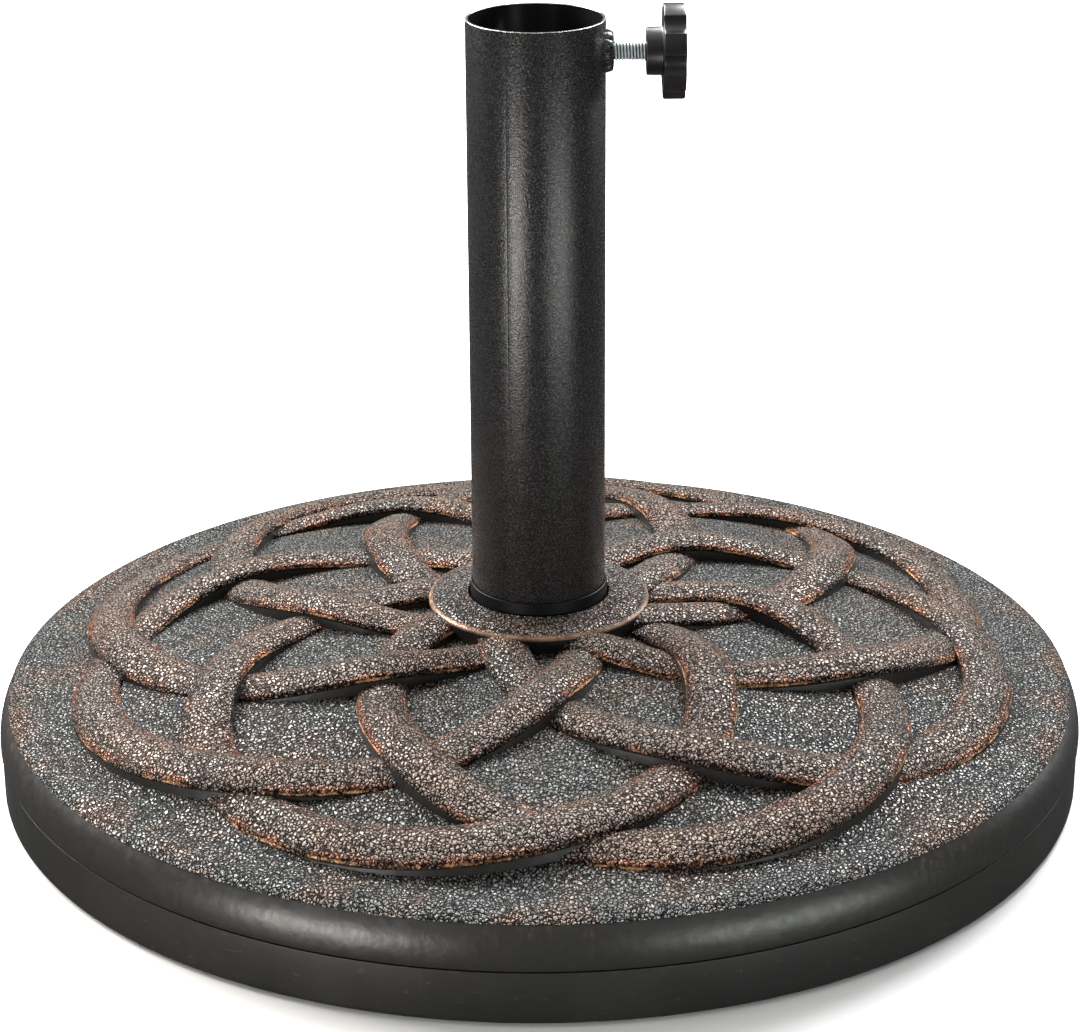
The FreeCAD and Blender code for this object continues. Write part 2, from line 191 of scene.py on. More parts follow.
# ---- studio, in metres and radians --------------------------------------------------------
FLOOR_RADIUS = 2.1
FLOOR_SIDES = 96
PAPER_DARK = (0.86, 0.86, 0.86)
PAPER_LIGHT = (0.88, 0.88, 0.88)
WORLD_LOW = 0.10           # the sky's strength near the horizon and overhead
WORLD_HIGH = 0.5
WORLD_RISE = (0.2, 0.7)    # sines of the heights that it grows between
BACK_LIGHT = 30.0
LEFT_LIGHT = 20.0
RIGHT_LIGHT = 4.0
TOP_LIGHT = 1.0
TUBE_LIGHT = 16.0
TUBE_LIGHT_RIGHT = 6.4
LEFT_WARMTH = (1.0, 0.96, 0.90)
TUBE_WARMTH = (1.0, 0.95, 0.9)
TUBE_COOL = (0.95, 1.0, 0.93)
CAMERA_DISTANCE = 1.1659
CAMERA_HEIGHT = 0.57007
CAMERA_PITCH = 0.3773      # downwards
CAMERA_YAW = 0.0006
CAMERA_ROLL = 0.0057
LENS = 101.23              # millimetres, as is the film's width
FILM_WIDTH = 36


# ---- outlines and meshes ------------------------------------------------------------------
def circle_through(points):
    """Centre and radius of the circle through three points."""
    (ax, ay), (bx, by), (cx, cy) = points
    rows = [[2 * (bx - ax), 2 * (by - ay)], [2 * (cx - ax), 2 * (cy - ay)]]
    sums = [bx * bx + by * by - ax * ax - ay * ay, cx * cx + cy * cy - ax * ax - ay * ay]
    centre = np.linalg.solve(rows, sums)
    return centre, float(np.hypot(ax - centre[0], ay - centre[1]))


def arc(points, steps):
    """Points along the arc that starts at, passes and ends at three points."""
    centre, radius = circle_through(points)
    first, middle, last = (math.atan2(y - centre[1], x - centre[0]) for x, y in points)
    turn = (last - first) % (2 * math.pi)
    if (middle - first) % (2 * math.pi) > turn:
        turn -= 2 * math.pi
    angles = first + turn * np.linspace(0, 1, steps + 1)
    return [(centre[0] + radius * math.cos(a), centre[1] + radius * math.sin(a)) for a in angles]


def rounded(corners, steps=4):
    """A closed outline whose corners are (x, y) or, where they are rounded, (x, y, radius)."""
    outline = []
    for i, (x, y, *rounding) in enumerate(corners):
        if not rounding:
            outline.append((x, y))
            continue
        corner = np.array((x, y))
        back = np.array(corners[i - 1][:2]) - corner
        ahead = np.array(corners[(i + 1) % len(corners)][:2]) - corner
        back = back / np.linalg.norm(back)
        ahead = ahead / np.linalg.norm(ahead)
        half = math.acos(float(np.clip(back @ ahead, -1, 1))) / 2
        bisector = (back + ahead) / np.linalg.norm(back + ahead)
        centre = corner + bisector * rounding[0] / math.sin(half)
        reach = rounding[0] / math.tan(half)
        outline += arc((corner + back * reach, centre - bisector * rounding[0],
                        corner + ahead * reach), steps)
    return outline


def shade(mesh, sharp_degrees):
    mesh.shade_smooth()
    mesh.set_sharp_from_angle(angle=math.radians(sharp_degrees))


def make_mesh(name, points, faces, sharp_degrees=35):
    """An object from points in millimetres, its faces outwards, smooth but for sharp edges."""
    mesh = bpy.data.meshes.new(name)
    mesh.from_pydata((np.asarray(points, float) * MM).tolist(), [], faces)
    work = bmesh.new()
    work.from_mesh(mesh)
    bmesh.ops.recalc_face_normals(work, faces=work.faces)
    work.to_mesh(mesh)
    work.free()
    shade(mesh, sharp_degrees)
    made = bpy.data.objects.new(name, mesh)
    bpy.context.scene.collection.objects.link(made)
    return made


def loft(name, rows, closed=True, sharp_degrees=35):
    """A skin over rows of points, each row a closed loop of the same number of points. The rows
    join up in a ring, or end in flat caps."""
    rows = np.asarray(rows, float)
    count, around = rows.shape[:2]
    faces = []
    for i in range(count if closed else count - 1):
        here = i * around
        after = ((i + 1) % count) * around
        for j in range(around):
            k = (j + 1) % around
            faces.append((here + j, here + k, after + k, after + j))
    if not closed:
        faces.append(tuple(range(around)))
        faces.append(tuple(range((count - 1) * around, count * around)))
    return make_mesh(name, rows.reshape(-1, 3), faces, sharp_degrees)


def lathe(name, outline, steps=ROUND_STEPS):
    """A ring-shaped solid of revolution about the base's axis. The outline is closed, and its
    points are (radius, height)."""
    rows = []
    for angle in 2 * math.pi * np.arange(steps) / steps:
        c, s = math.cos(angle), math.sin(angle)
        rows.append([(r * c, r * s, z) for r, z in outline])
    return loft(name, rows)


def spindle(name, outline, radius_at=None, steps=96, along_x=True, centre=(0, 0)):
    """A solid turned about the screw's axis, or an upright one. Its outline runs from one end of
    the axis to the other, as (radius, distance along the axis). radius_at(radius, angle) may
    change the radius, with the angle from +Y towards +Z, or from +X towards +Y."""
    points = []
    ends = (outline[0], outline[-1])
    middle = outline[1:-1]
    for radius, distance in middle:
        for angle in 2 * math.pi * np.arange(steps) / steps:
            r = radius_at(radius, angle) if radius_at else radius
            points.append((r * math.cos(angle), r * math.sin(angle), distance))
    points += [(0, 0, distance) for _, distance in ends]
    faces = []
    for i in range(len(middle) - 1):
        for j in range(steps):
            k = (j + 1) % steps
            faces.append((i * steps + j, i * steps + k, (i + 1) * steps + k, (i + 1) * steps + j))
    first, last = len(points) - 2, len(points) - 1
    top = (len(middle) - 1) * steps
    for j in range(steps):
        k = (j + 1) % steps
        faces.append((first, k, j))
        faces.append((last, top + j, top + k))
    if along_x:
        points = [(z, x, SCREW_HEIGHT + y) for x, y, z in points]
    else:
        points = [(centre[0] + x, centre[1] + y, z) for x, y, z in points]
    return make_mesh(name, points, faces)


def thread_solid(name, radius, pitch, start, end, along_x=True):
    """A right-handed screw thread from one distance along its axis to another, with a little more
    beyond both ends for trimming."""
    steps = 40
    depth = 0.6 * pitch
    profile = ((0.0, radius - depth), (0.12, radius - depth), (0.44, radius), (0.56, radius),
               (0.88, radius - depth))
    turns = int(math.ceil((end - start) / pitch)) + 2
    per_turn = len(profile)
    points = []
    for k in range(turns * per_turn + 1):
        share, r = profile[k % per_turn]
        for j in range(steps):
            angle = 2 * math.pi * j / steps
            distance = start + pitch * (k // per_turn + share + j / steps - 1.5)
            points.append((r * math.cos(angle), r * math.sin(angle), distance))
    faces = []
    rows = turns * per_turn + 1
    for k in range(rows - 1):
        for j in range(steps - 1):
            here = k * steps + j
            faces.append((here, here + 1, here + steps + 1, here + steps))
    for k in range(rows - 1 - per_turn):
        last = k * steps + steps - 1
        faces.append((last, (k + per_turn) * steps, (k + per_turn + 1) * steps, last + steps))
    low = list(range(steps)) + [k * steps for k in range(per_turn, 0, -1)]
    top = (rows - 1) * steps
    high = [top + j for j in range(steps - 1, -1, -1)]
    high += [(k + 1) * steps - 1 for k in range(rows - 1 - per_turn, rows - 1)]
    for loop, distance in ((low, start - 1.5 * pitch), (high, end + 2 * pitch)):
        centre = len(points)
        points.append((0, 0, distance))
        for a, b in zip(loop, loop[1:] + loop[:1]):
            faces.append((centre, a, b))
    if along_x:
        points = [(z, x, SCREW_HEIGHT + y) for x, y, z in points]
    return make_mesh(name, points, faces, sharp_degrees=40)


def hexagon(name, across_flats, start, end, along_x=True):
    """A hexagonal prism on the screw's axis, or on the base's, with its corners chamfered at both
    ends."""
    corner = across_flats / math.sqrt(3)
    rows = []
    for distance in (start, end):
        row = []
        for i in range(6):
            a, b = corner * math.cos(math.radians(60 * i)), corner * math.sin(math.radians(60 * i))
            row.append((distance, -b, SCREW_HEIGHT + a) if along_x else (a, b, distance))
        rows.append(row)
    prism = loft(name, rows, closed=False)
    face = across_flats / 2
    slope = 0.55 * (corner + 0.5 - face)
    turned = spindle(
        name + "_chamfer",
        [(0, start - 1), (face - 0.2, start - 1), (face - 0.2, start), (corner + 0.5, start + slope),
         (corner + 0.5, end - slope), (face - 0.2, end), (face - 0.2, end + 1), (0, end + 1)],
        steps=72, along_x=along_x,
    )
    return combine(prism, [turned], "INTERSECT")


def apply_modifiers(made):
    graph = bpy.context.evaluated_depsgraph_get()
    mesh = bpy.data.meshes.new_from_object(made.evaluated_get(graph))
    made.modifiers.clear()
    made.data = mesh


def combine(made, others, operation, sharp_degrees=35):
    """Joins other solids to this one, cuts them from it or keeps what they share, and removes
    them."""
    for other in others:
        step = made.modifiers.new(other.name, "BOOLEAN")
        step.operation = operation
        step.solver = "MANIFOLD"
        step.object = other
    apply_modifiers(made)
    for other in others:
        bpy.data.objects.remove(other)
    shade(made.data, sharp_degrees)
    return made


def smoothstep(x):
    x = np.clip(x, 0, 1)
    return x * x * (3 - 2 * x)


def near(x, middle, spread):
    """1 at the middle, falling off like a bell on both sides."""
    return np.exp(-(((x - middle) / spread) ** 2))


def corner_data(mesh):
    """Every face corner's position in millimetres, every face's middle, and each corner's face."""
    points = np.zeros(len(mesh.vertices) * 3)
    mesh.vertices.foreach_get("co", points)
    index = np.zeros(len(mesh.loops), int)
    mesh.loops.foreach_get("vertex_index", index)
    sizes = np.zeros(len(mesh.polygons), int)
    mesh.polygons.foreach_get("loop_total", sizes)
    middles = np.zeros(len(mesh.polygons) * 3)
    mesh.polygons.foreach_get("center", middles)
    corners = points.reshape(-1, 3)[index] / MM
    return corners, middles.reshape(-1, 3) / MM, np.repeat(np.arange(len(sizes)), sizes)


def paint(mesh, **values):
    """Stores a number per face corner under each name, for the materials to read."""
    for name, numbers in values.items():
        layer = mesh.attributes.new(name, "FLOAT", "CORNER")
        layer.data.foreach_set("value", np.asarray(numbers, np.float32))


# ---- the shell's top and its pattern ------------------------------------------------------
DOME_CENTRE, DOME_CURVE = circle_through(DOME)
CROSSING_ANGLES, CROSSING_HEIGHTS = np.array(CROSSINGS, float).T


def dome_height(radius):
    return DOME_CENTRE[1] + np.sqrt(DOME_CURVE ** 2 - (radius - DOME_CENTRE[0]) ** 2)


def ring_place(index):
    """Centre of a ring, and the direction from the base's axis to it."""
    outward = math.radians(RING_FIRST_ANGLE + 360 * index / RING_COUNT)
    return RING_OFFSET * math.cos(outward), RING_OFFSET * math.sin(outward), outward


def band_lift(turn):
    """Height of a band's edge above the dome, at an angle round its ring."""
    degrees = (np.degrees(turn) + 180) % 360 - 180
    span = np.clip(np.searchsorted(CROSSING_ANGLES, degrees) - 1, 0, len(CROSSINGS) - 2)
    share = (degrees - CROSSING_ANGLES[span]) / (CROSSING_ANGLES[span + 1] - CROSSING_ANGLES[span])
    rise = CROSSING_HEIGHTS[span + 1] - CROSSING_HEIGHTS[span]
    return CROSSING_HEIGHTS[span] + rise * smoothstep(share)


def band_section():
    """Half of a band's top, from its middle out to its wall: distance from the middle, and height
    against the band's edge."""
    flat = RING_HALF_WIDTH - RING_EDGE_ROUND
    half = [(flat * share, RING_CROWN * (1 - share ** 2)) for share in np.linspace(0, 1, 5)]
    for angle in np.radians((67.5, 45, 22.5, 0)):
        half.append((flat + RING_EDGE_ROUND * math.cos(angle),
                     RING_EDGE_ROUND * (math.sin(angle) - 1)))
    return half


def ring_solid(index):
    """One ring of the pattern: a band that rises and dips as it passes its neighbours."""
    centre_x, centre_y, outward = ring_place(index)
    half = band_section()
    foot = RING_HALF_WIDTH + 0.5
    across = [-foot] + [-s for s, _ in half[:0:-1]] + [s for s, _ in half] + [foot]
    rise = [None] + [h for _, h in half[:0:-1]] + [h for _, h in half] + [None]
    rows = []
    for turn in 2 * math.pi * np.arange(RING_STEPS) / RING_STEPS:
        lift = float(band_lift(turn))
        row = []
        for side, height in zip(across, rise):
            x = centre_x + (RING_RADIUS + side) * math.cos(outward + turn)
            y = centre_y + (RING_RADIUS + side) * math.sin(outward + turn)
            above = RING_ROOT if height is None else lift + height
            row.append((x, y, float(dome_height(math.hypot(x, y))) + above))
        rows.append(row)
    return loft(f"ring_{index}", rows)


def shell_outline():
    edge = BASE_RADIUS - SHELL_WALL
    inner = [(radius, height - SHELL_WALL) for radius, height in arc(DOME, 8)[::-1]]
    return (
        [(SKIRT_RADIUS - 2, DOME[0][1])] + arc(DOME, 26) + arc(SHOULDER, 8) + arc(SIDE, 8)
        + [(BASE_RADIUS - 0.12, SEAM_HEIGHT + 0.15), (BASE_RADIUS - 0.45, SEAM_HEIGHT)]
        + [(edge + inwards, SEAM_HEIGHT + height) for inwards, height in SHELL_LIP]
        + inner + [(SKIRT_RADIUS - 2, DOME[0][1] - SHELL_WALL)]
    )


def collar_seat():
    """What is cut away for the collar: its round seat and the hole for its skirt."""
    hole = SKIRT_RADIUS + 0.2
    seat = DOME[0][1] - COLLAR_SEAT_DEPTH
    return spindle(
        "collar_seat",
        [(0, 30), (hole, 30), (hole, seat), (COLLAR_SEAT_RADIUS, seat), (COLLAR_SEAT_RADIUS, 100),
         (0, 100)],
        steps=192, along_x=False,
    )


def shell_top():
    shell = lathe("shell_top", shell_outline())
    combine(shell, [ring_solid(i) for i in range(RING_COUNT)], "UNION")
    combine(shell, [collar_seat()], "DIFFERENCE", 32)
    corners, middles, face_of = corner_data(shell.data)
    section = np.array(band_section())
    owner = np.full(len(middles), -1)
    highest = np.full(len(middles), -np.inf)
    for i in range(RING_COUNT):
        x, y, outward = ring_place(i)
        across = np.abs(np.hypot(middles[:, 0] - x, middles[:, 1] - y) - RING_RADIUS)
        turn = np.arctan2(middles[:, 1] - y, middles[:, 0] - x) - outward
        top = band_lift(turn) + np.interp(across, section[:, 0], section[:, 1])
        mine = (across < RING_HALF_WIDTH + 0.48) & (top > highest)
        owner[mine] = i
        highest[mine] = top[mine]
    middle_radius = np.hypot(middles[:, 0], middles[:, 1])
    owner[(middle_radius > DOME[2][0] + 1) | (middles[:, 2] < DOME[2][1] - 2)] = -1
    owner_of = owner[face_of]
    radius = np.hypot(corners[:, 0], corners[:, 1])
    above = corners[:, 2] - dome_height(np.minimum(radius, DOME[2][0]))
    # edge runs from a band's middle out past its edge; it drives the painted shade there as well as
    # the rubbed bronze.
    edge = np.zeros(len(corners))
    for i in range(RING_COUNT):
        mine = owner_of == i
        x, y, outward = ring_place(i)
        across = np.abs(np.hypot(corners[mine, 0] - x, corners[mine, 1] - y) - RING_RADIUS)
        turn = np.arctan2(corners[mine, 1] - y, corners[mine, 0] - x) - outward
        below = np.maximum(band_lift(turn) - above[mine] - RING_EDGE_ROUND, 0)
        edge[mine] = np.minimum(across / RING_HALF_WIDTH, 1) + 0.2 * below
    smooth_side = (middles[:, 2] < SHOULDER[2][1] - 0.1) & (middle_radius > SHOULDER[0][0] - 6)
    paint(
        shell.data,
        band=owner_of >= 0,
        edge=edge,
        smooth=smooth_side[face_of],
        shoulder=near(radius, SHOULDER_LINE, SHOULDER_SPREAD),
        rim=np.zeros(len(corners)),
    )
    return shell


def shell_bottom():
    floor = LOWER_BOTTOM
    groove = LOWER_RADIUS - SEAM_GROOVE_DEPTH
    bolt_hole = BOLT_RADIUS + BOLT_CLEARANCE
    return lathe("shell_bottom", rounded([
        (bolt_hole, POCKET_CEILING),
        (POCKET_RADIUS, POCKET_CEILING, 1.5),
        (POCKET_RADIUS, floor, 0.8),
        (LOWER_RADIUS, floor, 2.6),
        (LOWER_RADIUS, SEAM_HEIGHT - SEAM_GAP, 0.2),
        (groove, SEAM_HEIGHT - SEAM_GAP),
        (groove, SEAM_HEIGHT),
        (TONGUE[1], SEAM_HEIGHT),
        (TONGUE[1], SEAM_HEIGHT + TONGUE_HEIGHT),
        (TONGUE[0], SEAM_HEIGHT + TONGUE_HEIGHT),
        (TONGUE[0], SEAM_HEIGHT - 4),
        (LOWER_RADIUS - TRAY_WALL, SEAM_HEIGHT - 7),
        (LOWER_RADIUS - TRAY_WALL, floor + TRAY_WALL),
        (BOSS_RADIUS, floor + TRAY_WALL),
        (BOSS_RADIUS, POCKET_CEILING + TRAY_WALL),
        (bolt_hole, POCKET_CEILING + TRAY_WALL),
    ]))


def collar():
    ring = lathe("collar", rounded([
        (COLLAR_HOLE, COLLAR_BOTTOM),
        (COLLAR_HOLE, COLLAR_TOP, 0.9),
        (COLLAR_RADIUS - 3.0, COLLAR_TOP - 1.3, 9.0),
        (COLLAR_RADIUS, COLLAR_TOP - 3.0, 1.6),
        (COLLAR_RADIUS - 0.9, DOME[0][1] - COLLAR_SEAT_DEPTH),
        (SKIRT_RADIUS, DOME[0][1] - COLLAR_SEAT_DEPTH),
        (SKIRT_RADIUS, COLLAR_BOTTOM),
    ], 6), steps=192)
    corners, middles, face_of = corner_data(ring.data)
    radius = np.hypot(corners[:, 0], corners[:, 1])
    below = np.maximum(COLLAR_TOP - 2.4 - corners[:, 2], 0)
    inside = radius < COLLAR_HOLE + 0.3
    # The worn line is on the rim itself, and stops short of the wall under it; it also carries a
    # painted highlight.
    on_top = (middles[:, 2] > COLLAR_TOP - 4.2)[face_of]
    # edge also drives the painted shade: the collar darkens towards its rim and in its hole.
    paint(
        ring.data,
        band=np.full(len(corners), COLLAR_BRONZE),
        edge=np.clip((radius - 36) / 9.2, 0, 1) + 0.16 * below + inside * 1.0,
        smooth=np.zeros(len(corners)),
        shoulder=np.zeros(len(corners)),
        rim=near(radius, COLLAR_RADIUS - 0.5, RIM_SPREAD) * on_top,
    )
    return ring


def liner():
    """The plastic sleeve round the tube, whose lip shows above the collar."""
    bore = TUBE_RADIUS + 0.1
    return lathe("liner", rounded([
        (bore, extent("socket_liner")[0].z),
        (bore, LINER_TOP, 0.25),
        (LINER_RADIUS, LINER_TOP, 0.45),
        (LINER_RADIUS, extent("socket_liner")[0].z),
    ]), steps=160)


def foot_pad(index):
    low, high = extent(f"foot_pad_{index + 1}")
    radius = (high.x - low.x) / 2
    centre = ((low.x + high.x) / 2, (low.y + high.y) / 2)
    grooves = []
    for groove in (radius * share for share in FOOT_GROOVES):
        grooves += [(groove - 0.7, low.z), (groove - 0.3, low.z + 0.5), (groove + 0.3, low.z + 0.5),
                    (groove + 0.7, low.z)]
    outline = [(0, low.z)] + grooves + [(radius - 1, low.z), (radius - 0.3, low.z + 0.3),
                                        (radius, low.z + 1), (radius, high.z), (0, high.z)]
    return spindle(f"foot_{index + 1}", outline, along_x=False, centre=centre, steps=64)


def plug():
    low, high = extent("fill_plug")
    centre = ((low.x + high.x) / 2, (low.y + high.y) / 2)
    head = (high.x - low.x) / 2
    stem = PLUG_STEM_RADIUS
    outline = [(0, low.z + 1.1), (9.5, low.z + 1.1), (10.5, low.z + 0.9), (11.6, low.z + 0.1),
               (12.2, low.z), (head - 0.8, low.z), (head - 0.2, low.z + 0.3), (head, low.z + 0.9),
               (head, low.z + 1.6), (stem, low.z + 1.6), (stem, PLUG_TOP - 1), (stem - 1, PLUG_TOP),
               (0, PLUG_TOP)]
    return spindle("plug", outline, along_x=False, centre=centre, steps=96)


def bolt():
    """The bolt that holds the tube down: its head is in the recess under the base."""
    under_head = BOLT_LOW + BOLT_HEAD_HEIGHT
    head = hexagon("bolt", BOLT_ACROSS_FLATS, BOLT_LOW, under_head, along_x=False)
    thread = thread_solid("bolt_thread", BOLT_RADIUS, BOLT_PITCH, under_head - 1, BOLT_HIGH,
                          along_x=False)
    trim = spindle(
        "bolt_trim",
        [(0, under_head - 1), (BOLT_RADIUS + 0.5, under_head - 1),
         (BOLT_RADIUS + 0.5, BOLT_HIGH - 1.5), (BOLT_RADIUS - 1, BOLT_HIGH), (0, BOLT_HIGH)],
        along_x=False, steps=48,
    )
    combine(thread, [trim], "INTERSECT")
    return combine(head, [thread], "UNION")


# ---- the tube and the clamp screw ---------------------------------------------------------
def tube():
    """The steel tube: cut rim, the faint ridge of its own weld, and the hole for the nut."""
    bore = TUBE_RADIUS - TUBE_WALL
    outline = rounded([
        (bore - TUBE_STEP, TUBE_BOTTOM),
        (TUBE_RADIUS - TUBE_STEP, TUBE_BOTTOM, 0.3),
        (TUBE_RADIUS - TUBE_STEP, TUBE_STEP_HEIGHT - 0.6),
        (TUBE_RADIUS, TUBE_STEP_HEIGHT),
        (TUBE_RADIUS, TUBE_TOP, 0.3),
        (bore, TUBE_TOP, 0.25),
        (bore, TUBE_STEP_HEIGHT),
        (bore - TUBE_STEP, TUBE_STEP_HEIGHT - 0.6),
    ])
    near_seam = np.linspace(-1.8, 1.8, 25)
    round_tube = np.linspace(2.4, 357.6, 220)
    rows = []
    for offset in np.concatenate((near_seam, round_tube)):
        angle = math.radians(TUBE_SEAM_ANGLE + offset)
        distance = (offset if offset < 180 else offset - 360) * math.pi / 180 * TUBE_RADIUS
        ridge = TUBE_SEAM_RIDGE * near(distance, 0, 0.24) - TUBE_SEAM_DIP * near(distance, 0, 0.7)
        row = []
        for r, z in outline:
            r += ridge if r > TUBE_RADIUS - 0.15 else 0
            row.append((r * math.cos(angle), r * math.sin(angle), z))
        rows.append(row)
    made = loft("tube", rows)
    hole = hexagon("tube_hole", NUT_ACROSS_FLATS + 0.1, NUT_INNER_FACE - 6, NUT_OUTER_FACE + 6)
    return combine(made, [hole], "DIFFERENCE")


def weld():
    """The lumpy weld round the clamp nut, lying on the tube."""
    steps = 160
    soft = 0.2             # over this many millimetres it bends flat under the nut's face
    rows = []
    for angle in 2 * math.pi * np.arange(steps) / steps:
        ripple = 0.34 * math.sin(13 * angle) + 0.3 * math.sin(5 * angle + 1.1)
        ripple += 0.16 * math.sin(31 * angle + 2.0)
        middle = WELD_RADIUS + 0.15 * ripple
        half_width = WELD_HALF_WIDTH + 0.45 * ripple
        height = WELD_HEIGHT + 0.75 * ripple
        row = []
        for tilt in np.radians(np.linspace(-40, 220, 15)):
            bump = 1 + 0.07 * math.sin(9 * angle + 3 * tilt) + 0.05 * math.sin(17 * angle - 5 * tilt)
            r = middle + half_width * bump * math.cos(tilt)
            y, z = r * math.cos(angle), r * math.sin(angle)
            x = math.sqrt(TUBE_RADIUS ** 2 - y ** 2) + height * bump * math.sin(tilt)
            # It stays under the nut's face, so the knob's hub clears it when it is screwed in.
            x = -soft * math.log(math.exp(-x / soft) + math.exp(-NUT_OUTER_FACE / soft))
            row.append((x, y, SCREW_HEIGHT + z))
        rows.append(row)
    return loft("weld", rows, sharp_degrees=60)


def nut():
    made = hexagon("nut", NUT_ACROSS_FLATS, NUT_INNER_FACE, NUT_OUTER_FACE)
    bore = spindle("nut_bore", [(0, 20), (NUT_BORE, 20), (NUT_BORE, NUT_OUTER_FACE - 0.5),
                                (NUT_BORE + 0.6, NUT_OUTER_FACE + 0.1), (NUT_BORE + 0.6, 40), (0, 40)],
                   steps=64)
    return combine(made, [bore], "DIFFERENCE")


def thread_depth(mesh):
    """How deep each corner of the screw lies in its thread, from 0 at the crest to 1 at the root."""
    corners = corner_data(mesh)[0]
    return np.clip((SCREW_RADIUS - np.hypot(corners[:, 1], corners[:, 2] - SCREW_HEIGHT)) / 0.7, 0, 1)


def screw():
    """The threaded screw, its hexagon head sunk in the knob."""
    disc_face = KNOB_FRONT + KNOB_HUB_LENGTH
    end = disc_face + 2
    thread = thread_solid("screw", SCREW_RADIUS, SCREW_PITCH, SCREW_END, end)
    trim = spindle("screw_trim", [(0, SCREW_END), (SCREW_RADIUS - 0.8, SCREW_END),
                                  (SCREW_RADIUS + 0.2, SCREW_END + 0.8), (SCREW_RADIUS + 0.2, end),
                                  (0, end)], steps=48)
    combine(thread, [trim], "INTERSECT")
    head = hexagon("screw_head", NUT_ACROSS_FLATS, disc_face + SCREW_HEAD_START,
                   disc_face + SCREW_HEAD_END)
    combine(thread, [head], "UNION")
    socket_end = SCREW_END + TIP_SOCKET_DEPTH
    socket = spindle("tip_socket", [(0, SCREW_END - 1), (TIP_SOCKET_RADIUS, SCREW_END - 1),
                                    (TIP_SOCKET_RADIUS, socket_end), (0, socket_end)], steps=32)
    combine(thread, [socket], "DIFFERENCE", 40)
    paint(thread.data, deep=thread_depth(thread.data))
    return thread


def lobed(radius, angle):
    """The knob's lobes: radii near its rim follow the flutes, and those of its hub stay round."""
    inset = KNOB_RADIUS - radius
    if inset > 3:
        return radius
    share = 2 * math.pi / KNOB_LOBES
    away = (angle - math.pi / 2 - KNOB_FIRST_FLUTE * share) % share
    from_flute = min(away, share - away)
    sideways = KNOB_FLUTE_RING * math.sin(from_flute)
    if sideways >= KNOB_FLUTE_RADIUS:
        return radius
    reach = KNOB_FLUTE_RING * math.cos(from_flute) - math.sqrt(KNOB_FLUTE_RADIUS ** 2 - sideways ** 2)
    soft = 0.15            # over this many millimetres a lobe turns into a flute
    return -soft * math.log(math.exp(-KNOB_RADIUS / soft) + math.exp(-reach / soft)) - inset


def knob():
    disc_face = KNOB_FRONT + KNOB_HUB_LENGTH
    rim = KNOB_RADIUS
    outline = [
        (0, KNOB_FRONT), (4.6, KNOB_FRONT), (KNOB_HUB_RADIUS - 0.4, KNOB_FRONT),
        (KNOB_HUB_RADIUS - 0.1, KNOB_FRONT + 0.1), (KNOB_HUB_RADIUS, KNOB_FRONT + 0.4),
        (KNOB_HUB_RADIUS + 0.1, disc_face - 0.7), (KNOB_HUB_RADIUS + 0.4, disc_face - 0.15),
        (KNOB_HUB_RADIUS + 1.0, disc_face), (rim - 6.2, disc_face),
    ]
    for angle in np.radians((0, 30, 60, 90)):
        outline.append((rim - 0.6 + 0.6 * math.sin(angle), disc_face + 0.6 - 0.6 * math.cos(angle)))
    for angle in np.radians((90, 67.5, 45, 22.5, 0)):
        outline.append((rim - 0.9 + 0.9 * math.sin(angle), KNOB_BACK - 0.9 + 0.9 * math.cos(angle)))
    sunk = KNOB_BACK - CAP_SINK
    outline += [(rim - 6.2, KNOB_BACK), (CAP_RADIUS + 0.9, KNOB_BACK),
                (CAP_RADIUS + 0.1, KNOB_BACK - 0.5), (CAP_RADIUS + 0.1, sunk), (7.0, sunk), (0, sunk)]
    made = spindle("knob", outline, lobed, steps=336)
    core = spindle("knob_core", [(0, KNOB_FRONT - 1), (SCREW_RADIUS + 0.05, KNOB_FRONT - 1),
                                 (SCREW_RADIUS + 0.05, disc_face + 3), (0, disc_face + 3)], steps=64)
    return combine(made, [core], "DIFFERENCE")


def cap():
    low, high = extent("knob_cap")
    return spindle("cap", [
        (0, low.x), (CAP_RADIUS, low.x), (CAP_RADIUS, high.x - 0.7), (CAP_RADIUS - 0.25, high.x - 0.4),
        (CAP_RADIUS - 0.9, high.x - 0.25), (6.5, high.x - 0.1), (3.5, high.x), (0, high.x),
    ])


